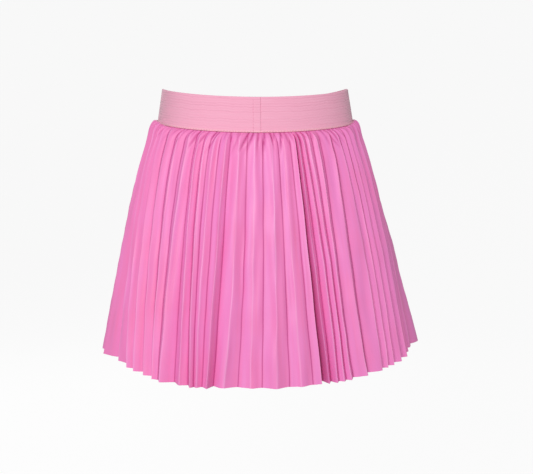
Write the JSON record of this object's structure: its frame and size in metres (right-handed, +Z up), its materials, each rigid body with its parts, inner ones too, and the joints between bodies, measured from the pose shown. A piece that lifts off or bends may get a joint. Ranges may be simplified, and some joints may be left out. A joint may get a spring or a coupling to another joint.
{
  "type": "pleated faux leather mini skirt",
  "caption": "Flared mini skirt of accordion pleated faux leather on a wide ribbed elastic waistband, hollow, held as worn.",
  "frame": {"origin": "centre of the waist opening, at half the height of the waistband", "axes": "+Z up out of the waist opening, +X across the skirt, -Y the side with the band's join, which the picture shows"},
  "size_m": [0.4909, 0.3556, 0.4172],
  "materials": {
    "elastic": "pale pink ribbed elastic, matt",
    "faux_leather": "pink faux leather with a soft sheen, heat set pleats"
  },
  "bodies": {
    "root": {"waistband": "elastic", "skirt_front": "faux_leather", "skirt_back": "faux_leather"}
  },
  "joints": []
}
